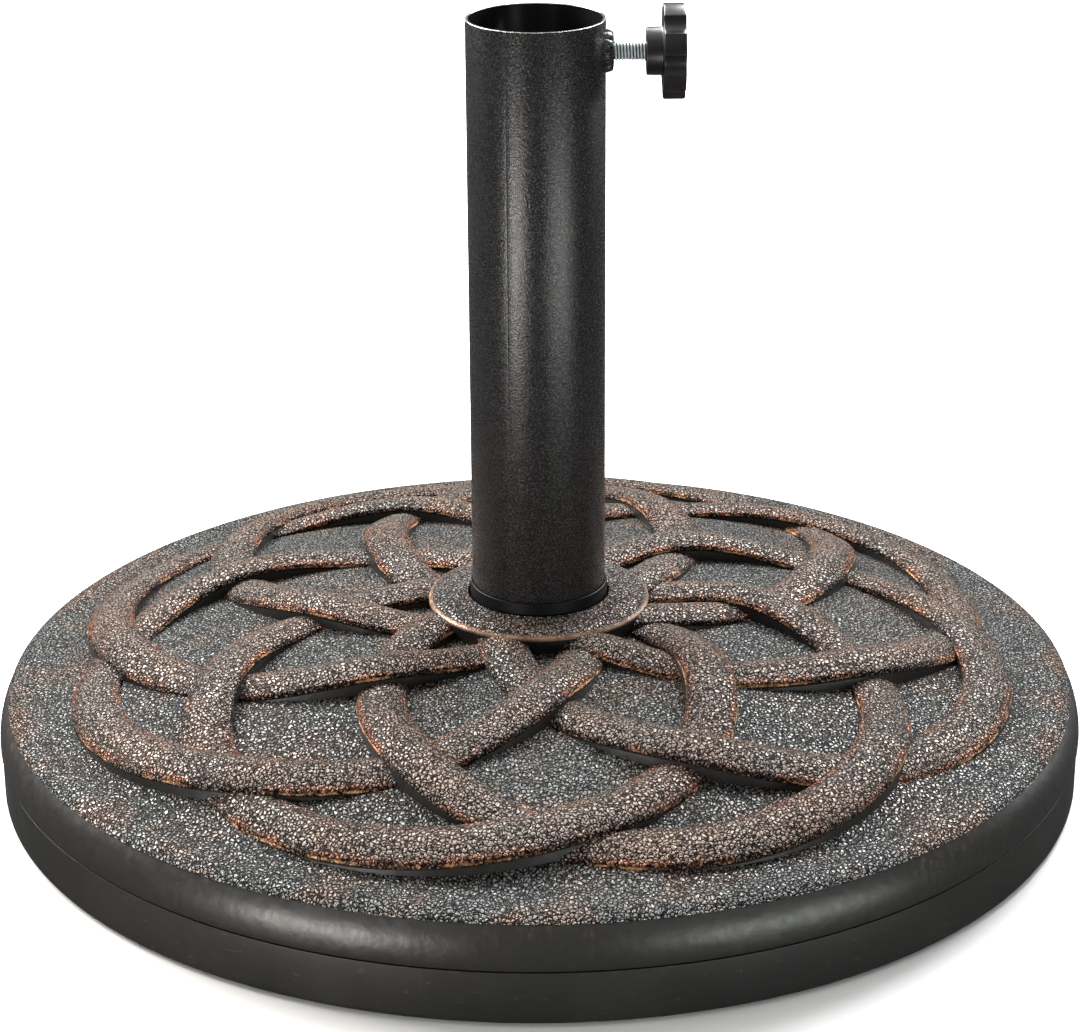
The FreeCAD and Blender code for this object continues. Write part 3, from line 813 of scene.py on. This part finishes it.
# ---- materials ----------------------------------------------------------------------------
class Finish:
    """A material being put together. Its methods add nodes and return their output sockets, and
    every length in it is in millimetres."""

    def __init__(self, name, **constants):
        self.material = bpy.data.materials.new(name)
        self.material.use_nodes = True
        self.tree = self.material.node_tree
        self.shader = self.tree.nodes["Principled BSDF"]
        for key, value in constants.items():
            self.shader.inputs[key.replace("_", " ")].default_value = value

    def add(self, kind, inputs, output=0, **settings):
        made = self.tree.nodes.new(kind)
        for key, value in settings.items():
            setattr(made, key, value)
        for key, value in inputs.items():
            if isinstance(value, bpy.types.NodeSocket):
                self.tree.links.new(value, made.inputs[key])
            else:
                made.inputs[key].default_value = value
        return made.outputs[output]

    def place(self, stretch=(1, 1, 1)):
        """Where a point is on the object, in millimetres, stretched along each axis."""
        where = self.add("ShaderNodeTexCoord", {}, "Object")
        scale = [s / MM for s in stretch]
        return self.add("ShaderNodeVectorMath", {0: where, 1: scale}, operation="MULTIPLY")

    def math(self, operation, a, b=0.5, c=0.5):
        return self.add("ShaderNodeMath", {0: a, 1: b, 2: c}, operation=operation)

    def times(self, first, *others):
        for other in others:
            first = self.math("MULTIPLY", first, other)
        return first

    def inverse(self, value):
        return self.math("SUBTRACT", 1.0, value)

    def noise(self, size, where=None, detail=2.0, roughness=0.5, output="Fac"):
        inputs = {"Vector": where or self.place(), "Scale": 1 / size, "Detail": detail,
                  "Roughness": roughness}
        return self.add("ShaderNodeTexNoise", inputs, output)

    def warped(self, size, amount, where=None):
        """The place of a point, pushed about by noise."""
        where = where or self.place()
        push = self.noise(size, where, output="Color")
        push = self.add("ShaderNodeVectorMath", {0: push, 1: (0.5, 0.5, 0.5)}, operation="SUBTRACT")
        return self.add("ShaderNodeVectorMath", {0: push, 1: (2 * amount,) * 3, 2: where},
                        operation="MULTIPLY_ADD")

    def cells(self, size, where):
        """The distance to the nearest edge between cells."""
        return self.add("ShaderNodeTexVoronoi", {"Vector": where, "Scale": 1 / size}, "Distance",
                        feature="DISTANCE_TO_EDGE")

    def ramp(self, value, low, high, start=0.0, end=1.0):
        """Takes a value from low..high to start..end, smoothly, and no further."""
        return self.add("ShaderNodeMapRange", {"Value": value, "From Min": low, "From Max": high,
                                               "To Min": start, "To Max": end},
                        interpolation_type="SMOOTHSTEP")

    def mix(self, share, a, b):
        inputs = {0: share}
        for key, colour in ((6, a), (7, b)):
            inputs[key] = colour if isinstance(colour, bpy.types.NodeSocket) else (*colour, 1)
        return self.add("ShaderNodeMix", inputs, 2, data_type="RGBA")

    def stored(self, name):
        return self.add("ShaderNodeAttribute", {}, "Fac", attribute_name=name)

    def height(self):
        where = self.add("ShaderNodeTexCoord", {}, "Object")
        apart = self.add("ShaderNodeSeparateXYZ", {0: where}, "Z")
        return self.math("MULTIPLY", apart, 1 / MM)

    def bump(self, height, depth):
        return self.add("ShaderNodeBump", {"Height": height, "Distance": depth * MM})

    def finish(self, **links):
        for key, value in links.items():
            self.tree.links.new(value, self.shader.inputs[key.replace("_", " ")])
        return self.material


def bronzed_resin():
    """Moulded resin with a pebble grain, a dark patina and bronze rubbed over what stands up; painted
    shade darkens the bands' edges and the creases, and a painted highlight runs along the edges.
    """
    m = Finish("bronzed_resin", Specular_IOR_Level=0.6)
    band = m.stored("band")
    edge = m.stored("edge")
    smooth = m.math("MAXIMUM", m.stored("smooth"), m.ramp(edge, 1.06, 1.2))
    rim = m.stored("rim")
    grained = m.inverse(m.math("MAXIMUM", smooth, rim))

    # The pebbles and the creases between them, dark with dirt and painted shade.
    where = m.warped(1.6, 0.9, m.place((1, GRAIN_STRETCH, 1)))
    to_crease = m.cells(GRAIN_SIZE, where)
    lumps = m.noise(1.2, where, detail=2.0)
    grain = m.math("MULTIPLY_ADD", m.ramp(to_crease, 0.0, 0.3), 0.6, m.times(lumps, 0.5))
    wobble = m.noise(8.0, detail=3.0)
    height = m.math("MULTIPLY_ADD", wobble, 0.3, m.times(grain, grained))
    crease = m.inverse(m.ramp(m.math("MULTIPLY_ADD", lumps, 0.3, to_crease), 0.18, 0.46))

    # The patina: grey to brown on the ground, brown to copper on the bands and the shoulder, and
    # painted shade towards the bands' edges.
    patches = m.noise(34.0, detail=3.0, roughness=0.6)
    worn = m.noise(6.0, detail=4.0, roughness=0.7)
    stretch = m.noise(26.0, detail=2.0)
    ground = m.mix(m.ramp(patches, 0.44, 0.64), GROUND_GREY, GROUND_BROWN)
    raised = m.mix(m.ramp(patches, 0.38, 0.66), BAND_BROWN, BAND_COPPER)
    # Painted shade: the bands darken to brown towards their edges, where their rounded sides turn from
    # the light.
    shaded = m.times(m.ramp(edge, 0.45, 0.95), 0.7)
    colour = m.mix(band, ground, m.mix(shaded, raised, EDGE_SHADE_BROWN))
    tinted = m.times(m.ramp(edge, 0.6, 0.98), band, m.ramp(stretch, 0.42, 0.62),
                     m.ramp(worn, 0.35, 0.65))
    at_shoulder = m.times(m.stored("shoulder"), m.ramp(patches, 0.46, 0.62), 0.6)
    colour = m.mix(m.times(m.math("MAXIMUM", tinted, at_shoulder), 0.6), colour, RUBBED_COPPER)
    # Dirt and painted shade: the creases go near black.
    colour = m.mix(m.times(crease, 0.97), colour, CREASE_DIRT_AND_SHADE)
    colour = m.mix(smooth, colour, SMOOTH_DARK)
    # Worn bronze and a painted highlight on the collar's rim.
    colour = m.mix(m.times(rim, m.ramp(worn, 0.3, 0.6, 0.35, 0.95)), colour, RIM_TAN_AND_HIGHLIGHT)

    # Rubbed places: a zone near a band's edge, a bright line on it that is rubbed bronze and a painted
    # highlight, and scuffs below the shoulder.
    present = m.times(m.ramp(stretch, 0.4, 0.56), m.inverse(m.ramp(edge, 1.0, 1.06)), band)
    zone = m.times(m.ramp(edge, 0.62, 0.9), present, m.ramp(worn, 0.32, 0.58))
    line = m.times(m.ramp(edge, 0.975, 0.995), present, m.ramp(worn, 0.4, 0.6),
                   m.ramp(stretch, 0.47, 0.6))
    streaks = m.noise(2.5, m.place((1, 1, 0.35)), detail=4.0, roughness=0.7)
    under_edge = m.ramp(m.height(), SHOULDER[2][1] - 8, SHOULDER[2][1] - 1)
    scuffs = m.times(m.stored("smooth"), under_edge, m.ramp(streaks, 0.5, 0.75),
                     m.ramp(patches, 0.45, 0.65))
    colour = m.mix(m.times(scuffs, 0.3), colour, RUBBED_COPPER)
    bare_zone = m.times(zone, m.math("MULTIPLY_ADD", crease, -0.8, 0.85))
    colour = m.mix(bare_zone, colour, RUBBED_COPPER)
    # Rubbed bronze and a painted highlight: the bright line along a band's edge.
    colour = m.mix(m.times(line, 0.85), colour, BRIGHT_RUB_AND_HIGHLIGHT)

    rough = m.math("MULTIPLY_ADD", worn, 0.14, 0.18)
    rough = m.math("MULTIPLY_ADD", m.times(crease, grained), 0.45, rough)
    rough = m.math("MULTIPLY_ADD", smooth, m.math("MULTIPLY_ADD", streaks, 0.3, -0.02), rough)
    metal = m.math("MAXIMUM", m.times(band, 0.1), m.times(zone, 0.5, m.inverse(line)))
    # Painted shade with dirt: metal with the near-black crease colour takes the reflections out of the
    # creases.
    metal = m.math("MAXIMUM", metal, m.times(crease, grained))
    return m.finish(Base_Color=colour, Roughness=rough, Metallic=metal,
                    Normal=m.bump(height, GRAIN_DEPTH))


def dark_resin():
    """The smooth, satin side wall: faint flow marks, scuffs and dust."""
    m = Finish("dark_resin")
    flow = m.noise(9.0, m.place((1, 1, 0.25)), detail=4.0, roughness=0.6)
    cloud = m.noise(60.0, detail=2.0)
    scratch = m.noise(1.2, m.warped(14.0, 6.0, m.place((0.25, 0.25, 1))), detail=2.0)
    colour = m.mix(m.ramp(cloud, 0.35, 0.7), SIDE_DARK, SIDE_LIGHT)
    colour = m.mix(m.times(m.ramp(scratch, 0.66, 0.74), 0.25), colour, SCRATCH_GREY)
    rough = m.math("MULTIPLY_ADD", flow, 0.16, 0.36)
    return m.finish(Base_Color=colour, Roughness=rough, Normal=m.bump(flow, 0.12))


def coat_layers(m, peel, depth, outside=1.0):
    """Colour, roughness, bump and glints of black powder coat with its fine orange peel. The
    glints are only where outside is 1."""
    lumps = m.times(m.noise(peel, detail=1.2, roughness=0.45), outside)
    cloud = m.noise(30.0)
    colour = m.mix(m.ramp(cloud, 0.3, 0.7), COAT_DARK, COAT_LIGHT)
    glints = m.ramp(lumps, 0.5, 0.6)
    colour = m.mix(glints, colour, COAT_GLINT)
    rough = m.math("MULTIPLY_ADD", lumps, 0.12, 0.2)
    return colour, rough, m.bump(lumps, depth), m.times(glints, 0.8)


def powder_coat(name, peel, depth):
    m = Finish(name)
    colour, rough, normal, glints = coat_layers(m, peel, depth)
    return m.finish(Base_Color=colour, Roughness=rough, Metallic=glints, Normal=normal)


def tube_coat():
    """Powder coat, worn to bright steel along the tube's cut rim."""
    m = Finish("tube_coat")
    from_axis = m.add("ShaderNodeVectorMath", {0: m.place((1, 1, 0))}, "Value", operation="LENGTH")
    outside = m.ramp(from_axis, TUBE_RADIUS - 0.6, TUBE_RADIUS - 0.3)
    colour, rough, normal, glints = coat_layers(m, 0.6, 0.14, outside)
    worn = m.ramp(m.noise(6.0, detail=3.0), 0.3, 0.55, 0.25, 1.0)
    rim = m.times(m.ramp(m.height(), TUBE_TOP - 0.2, TUBE_TOP - 0.05), worn)
    colour = m.mix(m.times(rim, 0.9), colour, BARE_RIM)
    shine = m.math("MAXIMUM", rim, glints)
    return m.finish(Base_Color=colour, Roughness=rough, Metallic=shine, Normal=normal)


def moulded_plastic(name, dark, light, roughness, grain=0.5, depth=0.03, gloss=0.5):
    """Plastic from a lightly sparked mould."""
    m = Finish(name, Specular_IOR_Level=gloss)
    spark = m.noise(grain, detail=3.0, roughness=0.65)
    cloud = m.noise(12.0, detail=2.0)
    colour = m.mix(m.ramp(cloud, 0.3, 0.7), dark, light)
    rough = m.math("MULTIPLY_ADD", spark, 0.16, roughness - 0.08)
    return m.finish(Base_Color=colour, Roughness=rough, Normal=m.bump(spark, depth))


def metal(name, light, dark, roughness, size=1.5, root_shade=None, share=1.0):
    """Bare or plated metal with stains and a fine grain. The roots argument is the colour of the
    painted shade in its thread's roots."""
    m = Finish(name, Metallic=share)
    fine = m.noise(0.25, detail=3.0)
    stains = m.noise(size, detail=4.0, roughness=0.7)
    colour = m.mix(m.ramp(stains, 0.35, 0.7), light, dark)
    # Painted shade: the thread's roots darken towards this colour.
    if root_shade:
        colour = m.mix(m.ramp(m.stored("deep"), 0.5, 1.0), colour, root_shade)
    rough = m.math("MULTIPLY_ADD", stains, 0.2, roughness - 0.1)
    return m.finish(Base_Color=colour, Roughness=rough, Normal=m.bump(fine, 0.012))


def concrete():
    m = Finish("concrete")
    sand = m.noise(0.9, detail=4.0, roughness=0.7)
    stones = m.ramp(m.cells(6.0, m.warped(5.0, 1.5)), 0.02, 0.2)
    colour = m.mix(m.ramp(sand, 0.3, 0.7), MORTAR_DARK, MORTAR_LIGHT)
    colour = m.mix(m.times(stones, 0.3), MORTAR_JOINT, colour)
    height = m.math("MULTIPLY_ADD", stones, 0.3, sand)
    rough = m.math("MULTIPLY_ADD", sand, 0.1, 0.85)
    return m.finish(Base_Color=colour, Roughness=rough, Normal=m.bump(height, 0.5))


def give(made, material):
    """One material on the whole piece."""
    made.data.materials.clear()
    made.data.materials.append(material)


def dress_node(name, material):
    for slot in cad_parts[name].material_slots:
        slot.material = material


def install(made, material, body, slot, *nodes):
    """Puts a new piece in place of CAD nodes, on their body, with its material."""
    give(made, material)
    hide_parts(*nodes)
    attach(made, body)


bronze = bronzed_resin()
black_plastic = moulded_plastic("knob_plastic", (0.005, 0.005, 0.0055), (0.009, 0.009, 0.010), 0.34)
zinc = metal("zinc", (0.82, 0.89, 0.93), (0.62, 0.68, 0.72), 0.2)
threaded_zinc = metal("threaded_zinc", (0.86, 0.92, 0.95), (0.66, 0.72, 0.76), 0.24,
                      root_shade=THREAD_ROOT_SHADE, share=0.5)
rubber = moulded_plastic("rubber", (0.018, 0.018, 0.018), (0.03, 0.03, 0.029), 0.72, 0.9, 0.06)

install(shell_top(), bronze, "root", "bronzed_resin", "upper_shell")
install(collar(), bronze, "root", "bronzed_resin", "collar_ring")
install(shell_bottom(), dark_resin(), "root", "dark_resin", "lower_shell")
install(liner(), moulded_plastic("liner_plastic", (0.003, 0.003, 0.0035), (0.005, 0.005, 0.006), 0.45,
                                 gloss=0.12), "root", "liner_plastic", "socket_liner")
for number in range(FOOT_COUNT):
    install(foot_pad(number), rubber, "root", "foot_rubber", f"foot_pad_{number + 1}")
install(plug(), moulded_plastic("plug_plastic", (0.015, 0.015, 0.015), (0.024, 0.023, 0.022), 0.45),
        "root", "plug_plastic", "fill_plug")
install(bolt(), zinc, "root", "zinc_plated_steel", "centre_bolt")
install(tube(), tube_coat(), "root", "black_powder_coat", "pole_tube")
install(weld(), powder_coat("weld_coat", 1.2, 0.12), "root", "coated_weld", "weld_bead")
install(nut(), powder_coat("nut_coat", 0.9, 0.06), "root", "coated_nut_steel", "clamp_nut")
install(screw(), threaded_zinc, "screw_and_knob", "zinc_plated_screw", "clamp_screw")
install(knob(), black_plastic, "screw_and_knob", "knob_plastic", "clamp_knob")
install(cap(), moulded_plastic("cap_plastic", (0.014, 0.014, 0.015), (0.022, 0.022, 0.023), 0.34),
        "screw_and_knob", "cap_plastic", "knob_cap")

steel = metal("bare_steel", (0.42, 0.40, 0.38), (0.20, 0.16, 0.13), 0.42, size=6.0)
dress_node("concrete_core", concrete())
dress_node("end_plate", steel)
dress_node("end_plate_nut", steel)
dress_node("bolt_washer", zinc)
dress_node("spring_washer", zinc)
dress_node("pressure_tip", moulded_plastic("tip_nylon", (0.62, 0.61, 0.56), (0.7, 0.69, 0.65), 0.4))


# ---- studio -------------------------------------------------------------------------------
def paper_floor():
    """A sheet of pale studio paper under the base."""
    m = Finish("studio_paper", Roughness=0.8)
    fibre = m.noise(3.0, detail=3.0)
    colour = m.mix(fibre, PAPER_DARK, PAPER_LIGHT)
    edge = [(FLOOR_RADIUS / MM * math.cos(a), FLOOR_RADIUS / MM * math.sin(a), 0)
            for a in 2 * math.pi * np.arange(FLOOR_SIDES) / FLOOR_SIDES]
    sheet = make_mesh("floor", edge, [tuple(range(FLOOR_SIDES))])
    give(sheet, m.finish(Base_Color=colour))
    sheet.visible_glossy = False


def softbox(name, place, target, width, height, radiance, colour=(1, 1, 1)):
    """A rectangular light of even radiance, facing a point."""
    lamp = bpy.data.lights.new(name, "AREA")
    lamp.shape = "RECTANGLE"
    lamp.size = width
    lamp.size_y = height
    lamp.energy = radiance * math.pi * width * height
    lamp.color = colour
    made = bpy.data.objects.new(name, lamp)
    made.location = place
    made.rotation_euler = (Vector(place) - Vector(target)).to_track_quat("Z", "Y").to_euler()
    made.visible_camera = False
    bpy.context.scene.collection.objects.link(made)


def around(degrees, distance, height):
    """A place at an angle from the camera's side, towards +X, at a distance and a height."""
    angle = math.radians(degrees)
    return distance * math.sin(angle), -distance * math.cos(angle), height


def light_studio():
    """A dim sky that is white to the camera, and the softboxes: two behind, one on each side, one
    overhead and two low ones for the streaks on the tube."""
    world = bpy.data.worlds.new("studio")
    bpy.context.scene.world = world
    world.use_nodes = True
    tree = world.node_tree
    direction = tree.nodes.new("ShaderNodeTexCoord")
    apart = tree.nodes.new("ShaderNodeSeparateXYZ")
    rise = tree.nodes.new("ShaderNodeMapRange")
    rise.interpolation_type = "SMOOTHSTEP"
    rise.inputs["From Min"].default_value = WORLD_RISE[0]
    rise.inputs["From Max"].default_value = WORLD_RISE[1]
    rise.inputs["To Min"].default_value = WORLD_LOW
    rise.inputs["To Max"].default_value = WORLD_HIGH
    tree.links.new(direction.outputs["Generated"], apart.inputs[0])
    tree.links.new(apart.outputs["Z"], rise.inputs["Value"])
    seen = tree.nodes.new("ShaderNodeLightPath")
    white = tree.nodes.new("ShaderNodeMath")
    white.operation = "MAXIMUM"
    tree.links.new(rise.outputs["Result"], white.inputs[0])
    tree.links.new(seen.outputs["Is Camera Ray"], white.inputs[1])
    tree.links.new(white.outputs[0], tree.nodes["Background"].inputs["Strength"])
    tree.nodes["Background"].inputs["Color"].default_value = (1, 1, 1, 1)
    middle = (0, 0, 0.06)
    for side in (-1, 1):
        softbox(f"back_light_{side}", around(side * 148, 1.5, 1.4), middle, 1.1, 0.7, BACK_LIGHT)
    softbox("left_light", around(-112, 1.2, 0.8), middle, 0.7, 0.7, LEFT_LIGHT, LEFT_WARMTH)
    softbox("right_light", around(122, 1.4, 0.5), middle, 0.9, 0.7, RIGHT_LIGHT)
    softbox("top_light", (0, 0.2, 2.2), middle, 1.8, 1.8, TOP_LIGHT)
    on_tube = (0, 0, 0.2)
    softbox("tube_light_left", around(-35, 0.6, 0.06), on_tube, 0.26, 0.12, TUBE_LIGHT, TUBE_WARMTH)
    softbox("tube_light_right", around(38, 0.6, 0.06), on_tube, 0.38, 0.12, TUBE_LIGHT_RIGHT,
            TUBE_COOL)


def place_camera():
    forward = Vector((math.sin(CAMERA_YAW) * math.cos(CAMERA_PITCH),
                      math.cos(CAMERA_YAW) * math.cos(CAMERA_PITCH), -math.sin(CAMERA_PITCH)))
    level = Vector((math.cos(CAMERA_YAW), -math.sin(CAMERA_YAW), 0))
    upright = level.cross(forward)
    right = level * math.cos(CAMERA_ROLL) - upright * math.sin(CAMERA_ROLL)
    up = upright * math.cos(CAMERA_ROLL) + level * math.sin(CAMERA_ROLL)
    lens = bpy.data.cameras.new("camera")
    lens.lens = LENS
    lens.sensor_width = FILM_WIDTH
    made = bpy.data.objects.new("camera", lens)
    turned = Matrix((right, up, -forward)).transposed()
    made.matrix_world = Matrix.Translation((0, -CAMERA_DISTANCE, CAMERA_HEIGHT)) @ turned.to_4x4()
    bpy.context.scene.collection.objects.link(made)
    bpy.context.scene.camera = made


paper_floor()
light_studio()
place_camera()
bpy.context.scene.view_settings.view_transform = "Standard"
